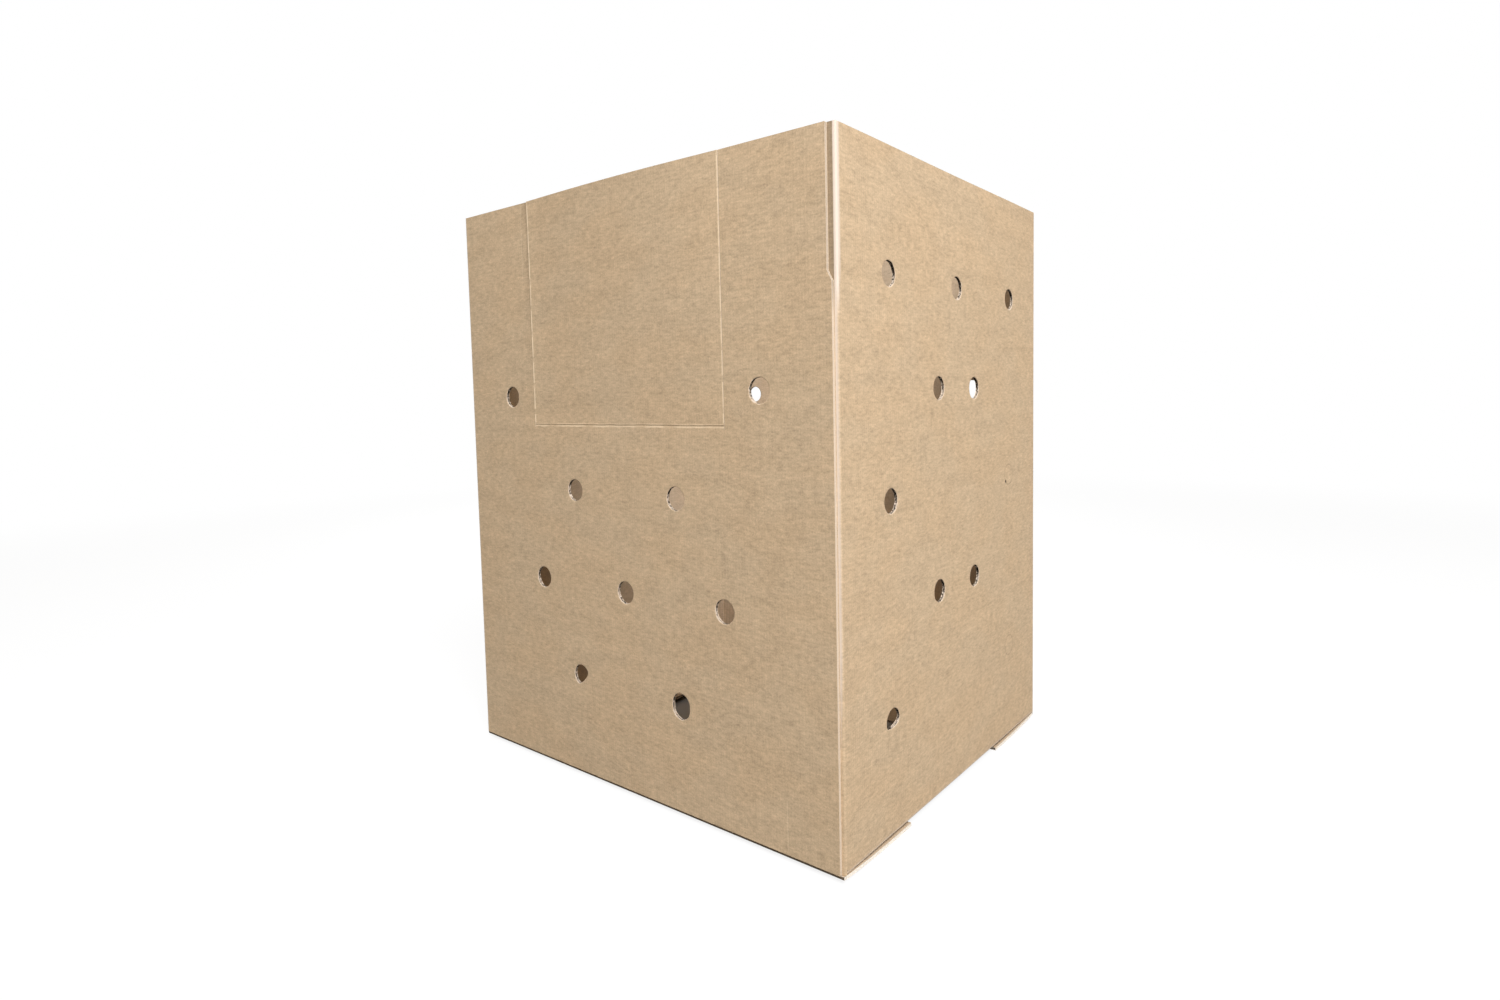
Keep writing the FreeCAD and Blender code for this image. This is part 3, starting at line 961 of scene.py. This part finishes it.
def make_paints():
    return {
        "outer": kraft_liner("kraft_outer", KRAFT, KRAFT_WARM, 1.0),
        "inner": kraft_liner("kraft_inner", INNER_KRAFT, INNER_WARM, 0.8, washboard=0.20),
        "medium": flute_paper(),
        "cut": cut_paper("cut_paper", CUT_PAPER),
        "cut_flap": cut_paper("cut_flap_paper", CUT_FLAP),
    }


# ---------------------------------------------------------------- wear, painted light and shade, and creases

JOINT_FOLD = "fold after right"
# How pale the folds are: stretched liner, with a painted highlight on the joint's corner and
# painted light under the short walls' bends.
FOLD_PALE, JOINT_PALE, BEND_PAINTED_LIGHT = 0.35, 0.95, 0.9
RIM_PALE, RIM_CRUSHED = 0.1, 0.5               # pale all round a vent's rim, and more where crushed and lit, partly a painted highlight
BESIDE_GATE, GATE_LEFT, GATE_RIGHT, SCORE_CRUSHED = 0.45, 0.85, 0.65, 0.5
GROOVE = 13 * MM               # width of the groove that the notch leaves
# Painted shade in the notch's groove, and on the front wall's cut edge in the notch, on its slant
# and below it.
GROOVE_SHADE, SHADE_IN_NOTCH, SHADE_ON_SLANT, SHADE_BELOW = 0.47, 0.35, 0.5, 0.18
NEAR_VENT = 50 * MM
SCORE_STEP = 0.7 * MM          # fineness of the scored strip
SCORE_WANDER = 0.8 * MM
SCORE_DEPTH, SCORE_BEAD = 0.65 * MM, 0.35 * MM
SCORE_LOWER, SCORE_UPPER = 4 * MM, 1.6 * MM    # length of the score's flanks
GATE_ROUNDED, GATE_BURR = 0.3 * MM, 0.5 * MM
BEAD_LINES = (0.3, 0.6, 1)     # shares of the bead where the gate's sheet is cut
FOLD_CRUSH = 2.2 * MM


def fold_wear_and_highlight(u, v):
    """Stretched, paler liner on the folds; most on the joint's corner, beside the glued edge,
    where the pale band is also a painted highlight.
    """
    for run in RUNS.values():
        share = (u - run.start) / run.length
        if not run.turns or not -0.35 < share <= 1:
            continue
        if run.name == JOINT_FOLD:
            # The pale band, rubbed liner and painted highlight, is thin at the foot, wider above
            # it and widest at the notch.
            pale_from = 1.15 - 0.45 * step_up(v, 0.20, 0.45) - 0.75 * step_up(v, 1.10, 1.18)
            return step_up(share, pale_from - 0.35, pale_from + 0.15) * JOINT_PALE
        return bump_at(share, 0.5, 0.6) * FOLD_PALE
    return 0


def bend_painted_light(u, v):
    """Painted light on the underside of the bend where a short wall's flap folds in under it,
    which faces the floor.
    """
    if not flap_run_at(u):
        return 0
    return BEND_PAINTED_LIGHT * bump_at(v, BEND_TOP - 0.55 * BEND_RUN, 0.5 * BEND_RUN)


def notch_shade(u, v):
    """Painted shade in the groove of the joint's notch, which is darker than the walls."""
    off = u - RUNS["tab"].start
    inside = -1 * MM < off < GROOVE and v > TOP - NOTCH_DROP - 2 * NOTCH_SLANT
    return GROOVE_SHADE if inside else 0


def notch_edge(u, v, w):
    """Painted shade on the front wall's cut edge, most on the notch's slant."""
    if u > 2 * NOTCH_IN:
        return 0, 0, 0
    if v > TOP - NOTCH_DROP:
        return 0, 0, SHADE_IN_NOTCH
    return 0, 0, SHADE_ON_SLANT if v > TOP - NOTCH_DROP - 1.5 * NOTCH_SLANT else SHADE_BELOW


def near_open(vents, u, v):
    """The open vent beside a place, if there is one."""
    for vent in vents:
        if not vent.kept and math.hypot(u - vent.u, v - vent.v) < NEAR_VENT:
            return vent
    return None


def walls_wear_light_and_shade(vents):
    """The outer liner: its folds, the vents' rims, the gate's left edge and the notch; painted
    light under the short walls' bends, painted highlights on the joint's corner and the vents' lit
    rims, painted shade in the notch.
    """
    _, left = gate_ends()

    def wear(u, v, w):
        vent = near_open(vents, u, v)
        at_rim = vent and vent.off_rim(u, v) < AT_RIM
        rim = RIM_PALE + RIM_CRUSHED * vent.crushed_and_lit_share(u, v, w) if at_rim else 0
        pale = max(fold_wear_and_highlight(u, v), rim, bend_painted_light(u, v))
        beside_gate = abs(u - left) < BEAD / 2 and v > SILL
        return pale, BESIDE_GATE if beside_gate else 0, notch_shade(u, v)
    return wear


def vent_crush_and_shade(vents):
    """Inside a vent: painted shade where the flutes are not crushed, pale fibres where they are
    crushed and lit, partly a painted highlight.
    """
    def wear(u, v, w):
        vent = near_open(vents, u, v)
        if not vent or (w < LINER - BOARD and vent.off_rim(u, v) > AT_RIM):
            return 0, 0, 0
        pale = vent.crushed_and_lit_share(u, v, w)
        return pale, 0, 1 - pale
    return wear


def inner_wear_and_shade(vents):
    """The inner liner: its rims, pale and with painted shade, and the flutes that show through
    beside the folds.
    """
    at_rim = vent_crush_and_shade(vents)

    def wear(u, v, w):
        pale, _, dark = at_rim(u, v, w)
        off_fold = min(abs(u - run.start - run.length / 2) for run in RUNS.values() if run.turns)
        return pale * 0.6, 1 - step_up(off_fold, 20 * MM, 70 * MM), dark
    return wear


def gate_wear(u, v, w):
    """Crushed paper along both of the gate's cuts."""
    right, left = gate_ends()
    if left - u < 0.7 * BEAD:
        return 0, GATE_LEFT, 0
    return 0, GATE_RIGHT if u - right < 0.7 * BEAD else 0, 0


def gate_crease(u, v, w):
    """The cutting rule rounded the gate's right edge over and raised a burr on its left one."""
    right, left = gate_ends()
    if u < (right + left) / 2:
        return -GATE_ROUNDED * (1 - step_up(u - right, 0, BEAD))
    return GATE_BURR * (1 - step_up(left - u, 0, BEAD))


def off_score(u, v):
    """Height over the gate's score, which wanders a little."""
    return v - SCORE + (noise_at(u * 9) + noise_at(u * 28, 5)) * SCORE_WANDER


def score_wear(u, v, w):
    """Crushed paper on the bead and, with a ragged end, below the score."""
    off = off_score(u, v)
    ragged = (4.2 + noise_at(u * 45, 3) * 3.5) * MM
    fade = clamp(0.7 + noise_at(u * 22, 9) * 1.5, low=0.15)
    if off > 0:
        return 0, bump_at(off, 2.9 * MM, 1.4 * MM) * SCORE_CRUSHED * fade, 0
    return 0, SCORE_CRUSHED * fade if off > -ragged else 0, 0


def score_crease(u, v, w):
    """The gate's score: a bead above, a short steep flank and a long lower one."""
    off = off_score(u, v)
    bead = bump_at(off, 3.0 * MM, 1.8 * MM) * SCORE_BEAD
    if -SCORE_LOWER < off < 0:
        return bead - (1 + off / SCORE_LOWER) * SCORE_DEPTH
    if 0 <= off < SCORE_UPPER:
        return bead - (1 - off / SCORE_UPPER) * SCORE_DEPTH
    return bead


def flap_crease(u, v, w):
    """The score crushed the flap's fold behind the wall's face."""
    return -FOLD_CRUSH * bump_at(v, -NOSE / 2, NOSE * 0.75)


def flap_shade(u, v, w):
    """Painted shade on the flap's fold, under the wall's foot where it nearly touches the floor.
    """
    return 0, 0, 1 if v < 0 else 0


# ---------------------------------------------------------------- pieces

def fold_lines():
    """Where the walls bend, with a little room beside each fold, and where the groove ends."""
    lines = []
    for run in RUNS.values():
        if run.turns:
            step = run.length / FOLD_STEPS
            lines += [run.start + step * index for index in range(FOLD_STEPS + 1)]
            lines += [run.start - FOLD_OUT, run.start - FOLD_OUT / 2]
            lines += [run.start + run.length + FOLD_OUT / 2]
    groove_end = RUNS["tab"].start + GROOVE
    return lines + [groove_end + 1 * MM, groove_end - 1 * MM]


def make_walls(paint):
    """The four walls, the tab and the short walls' flaps, as one sheet of board."""
    vents = wall_vents()
    bend = [BEND_TOP - BEND_RUN * index / FOLD_STEPS for index in range(FOLD_STEPS + 1)]
    right, left = gate_ends()
    u_lines = fold_lines() + [right - BEAD, left + BEAD]
    for run in RUNS.values():
        if not run.turns:
            u_lines += spaced(run.start, run.start + run.length, MESH_STEP)
    v_lines = bend + spaced(BEND_TOP, TOP, MESH_STEP)
    pieces = make_board("walls", "walls", fold_wall, walls_outline, vents, u_lines, v_lines, paint,
                        walls_wear_light_and_shade(vents), nose=SCORE_REACH, edge_shade=notch_edge)
    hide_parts("box_walls")


def make_gate(paint):
    """The gate, with fine strips along its cuts for their rounded edge and burr."""
    right, left = gate_ends()
    beads = [right + BEAD * share for share in BEAD_LINES]
    beads += [left - BEAD * share for share in BEAD_LINES]
    pieces = make_board("gate", "gate", fold_gate, gate_outline, [],
                        beads + spaced(right, left, MESH_STEP),
                        spaced(GATE_LOW.z, TOP, MESH_STEP), paint, gate_wear, gate_crease,
                        SCORE_REACH)
    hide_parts("access_gate")


def make_score(paint):
    """The strip of outer liner that the gate hinges on."""
    right, left = gate_ends()
    low, high = SILL - SCORE_REACH, GATE_LOW.z + SCORE_REACH
    outline = [(right, low), (left, low), (left, high), (right, high)]
    strip = fill_sheet(outline, [], spaced(right, left, MESH_STEP / 8),
                       spaced(low, high, SCORE_STEP))
    thicken(strip, 0, LINER)
    piece = hand_over(strip, "gate_score_liner", None, fold_gate, (paint["outer"], paint["cut"]),
                      score_wear, score_crease)
    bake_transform(piece)


def make_bottom_flaps(paint):
    """The long walls' flaps; the back one is the front one turned round."""
    bend = [-NOSE * index / FOLD_STEPS for index in range(FOLD_STEPS)]
    v_lines = bend + spaced(0, FLAP_ARC, MESH_STEP / 2) + [FLAP_ARC]
    paint = dict(paint, cut=paint["cut_flap"])
    for side, fold in (("front", fold_front_flap), ("back", fold_back_flap)):
        pieces = make_board(side + "_flap", side + "_flap", fold, flap_outline, [],
                            spaced(FLAP_LOW.x, FLAP_HIGH.x, 4 * MESH_STEP), v_lines, paint,
                            flap_shade, flap_crease, NOSE)
        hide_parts(side + "_bottom_flap")


# ---------------------------------------------------------------- stage, light and camera

FLOOR_HALF = 30
FLOOR_GAP = 0.5 * MM           # under the box, so that no faces coincide
FLOOR_GLOW = 0.88              # the rest of the floor's white is lit, and keeps the shadow
FLOOR_FADE = (4, 8)            # metres from the box over which it becomes all white
UNDER_BOX = (0.80, 0.98)       # share of the footprint over which the plain grey floor ends
MIDDLE_OF_BOX = Vector((0, 0, TOP / 2))
LAMP_WHITE = (0.97, 0.97, 1.0)
KEY_WHITE = (0.967, 0.967, 1.0)
ROOM_LIGHT = (1.0, 0.94, 0.80, 1)
ROOM_STRENGTH = 0.25
EYE = Vector((1.428, -1.740, 0.940))
AZIMUTH, ELEVATION, ROLL = math.radians(37.54), math.radians(-3.89), math.radians(-1.08)
LENS = 19.32
SHIFT_X, SHIFT_Y = -0.0229, -0.0317


def white_floor():
    """A pale floor that the camera sees as nearly white, except inside the box's own outline."""
    floor = Shader("pale_floor", 0.9, specular=0.5)
    floor.surface.inputs["Base Color"].default_value = FLOOR_GREY
    place = floor.add("ShaderNodeTexCoord", {}, output="Object")
    across = floor.add("ShaderNodeVectorMath", {0: place, 1: (HALF_X, HALF_Y, 1)},
                       operation="DIVIDE")
    across = floor.add("ShaderNodeVectorMath", {0: across}, operation="ABSOLUTE")
    x, y = (floor.add("ShaderNodeSeparateXYZ", {"Vector": across}, output=axis) for axis in "XY")
    outside = x.math("MAXIMUM", y).above(*UNDER_BOX, step="LINEAR")
    away = floor.add("ShaderNodeVectorMath", {0: place}, output="Value", operation="LENGTH")
    white_share = (1 - FLOOR_GLOW) * away.above(*FLOOR_FADE) + FLOOR_GLOW
    paper = floor.add("ShaderNodeBsdfDiffuse", {"Color": FLOOR_WHITE})
    glow = floor.add("ShaderNodeEmission", {})
    bright = floor.add("ShaderNodeMixShader", {0: white_share, 1: paper, 2: glow})
    camera, glossy = (floor.add("ShaderNodeLightPath", {}, output=ray)
                      for ray in ("Is Camera Ray", "Is Glossy Ray"))
    plain = Term(floor, floor.surface.outputs[0])
    seen = camera.math("MAXIMUM", glossy) * outside
    floor.show(floor.add("ShaderNodeMixShader", {0: seen, 1: plain, 2: bright}), "Material Output")
    return floor.material


def make_floor():
    """A wide flat floor, which isn't part of the box."""
    bm = bmesh.new()
    bmesh.ops.create_grid(bm, x_segments=1, y_segments=1, size=FLOOR_HALF,
                          matrix=Matrix.Translation((0, 0, CAD_LOW.z - FLOOR_GAP)))
    new_object("floor", bm, [white_floor()])


def make_world():
    """Even studio light; the camera sees plain white."""
    world = bpy.data.worlds.new("studio")
    bpy.context.scene.world = world
    world.use_nodes = True
    room = Nodes(world.node_tree)
    room.tree.nodes.remove(room.tree.nodes["Background"])
    light = room.add("ShaderNodeBackground", {"Color": ROOM_LIGHT, "Strength": ROOM_STRENGTH})
    white = room.add("ShaderNodeBackground", {"Color": WHITE, "Strength": 1.0})
    seen = room.add("ShaderNodeLightPath", {}, output="Is Camera Ray")
    room.show(room.add("ShaderNodeMixShader", {0: seen, 1: light, 2: white}), "World Output")


def add_light(name, place, aim, size, power, colour):
    """A round soft lamp."""
    lamp = bpy.data.lights.new(name, "AREA")
    lamp.shape = "DISK"
    lamp.size = size
    lamp.energy = power
    lamp.color = colour
    light = bpy.data.objects.new(name, lamp)
    light.location = place
    light.rotation_euler = (aim - place).to_track_quat("-Z", "Y").to_euler()
    bpy.context.scene.collection.objects.link(light)


def make_lights():
    add_light("key", place=Vector((4.7, -3.2, 6.4)), aim=MIDDLE_OF_BOX, size=4.0, power=902,
              colour=KEY_WHITE)
    add_light("front", place=Vector((0.6, -2.2, 4.2)), aim=Vector((0.2, 0.5, 0.9)), size=1.5,
              power=20, colour=LAMP_WHITE)
    add_light("back", place=Vector((-4.2, 4.0, 4.0)), aim=MIDDLE_OF_BOX, size=3.0, power=260,
              colour=LAMP_WHITE)


def make_camera():
    camera = bpy.data.cameras.new("camera")
    camera.sensor_width = 36
    camera.lens = LENS
    camera.shift_x = SHIFT_X
    camera.shift_y = SHIFT_Y
    eye = bpy.data.objects.new("camera", camera)
    level = math.cos(ELEVATION)
    look = Vector((-math.sin(AZIMUTH) * level, math.cos(AZIMUTH) * level, math.sin(ELEVATION)))
    turn = look.to_track_quat("-Z", "Y").to_matrix().to_4x4() @ Matrix.Rotation(ROLL, 4, "Z")
    eye.matrix_world = Matrix.Translation(EYE) @ turn
    bpy.context.scene.collection.objects.link(eye)
    bpy.context.scene.camera = eye


def main():
    paint = make_paints()
    make_walls(paint)
    make_gate(paint)
    make_score(paint)
    make_bottom_flaps(paint)
    make_floor()
    make_world()
    make_lights()
    make_camera()
    bpy.context.scene.view_settings.view_transform = "Standard"


main()
